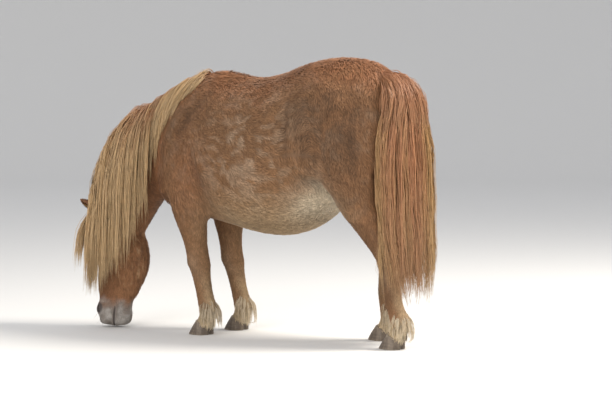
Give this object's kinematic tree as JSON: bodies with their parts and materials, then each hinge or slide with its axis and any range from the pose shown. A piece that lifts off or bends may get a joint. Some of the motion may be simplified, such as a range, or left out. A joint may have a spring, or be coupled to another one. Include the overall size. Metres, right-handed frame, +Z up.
{
  "type": "shetland pony",
  "caption": "Life-size still model of a chestnut Shetland pony grazing with its head down, with a long flaxen mane, forelock and tail.",
  "frame": {"origin": "middle of the bounding box, on the plane the hooves stand on", "axes": "+Z up, +X towards the tail, so the pony faces -X, and its left side is towards -Y"},
  "size_m": [1.5328, 0.5452, 1.0518],
  "materials": {
    "coat": "short chestnut hair, matt with a soft sheen",
    "hair": "long flaxen hair over chestnut, satin",
    "hoof": "dark horn, matt",
    "eye": "dark, wet and glossy"
  },
  "bodies": {
    "root": {"torso": "coat", "head": "coat", "ear_left": "coat", "ear_right": "coat", "fore_leg_left": "coat", "fore_leg_right": "coat", "hind_leg_left": "coat", "hind_leg_right": "coat", "neck": "hair", "tail": "hair", "fore_hoof_left": "hoof", "fore_hoof_right": "hoof", "hind_hoof_left": "hoof", "hind_hoof_right": "hoof", "eye_left": "eye", "eye_right": "eye"}
  },
  "joints": []
}
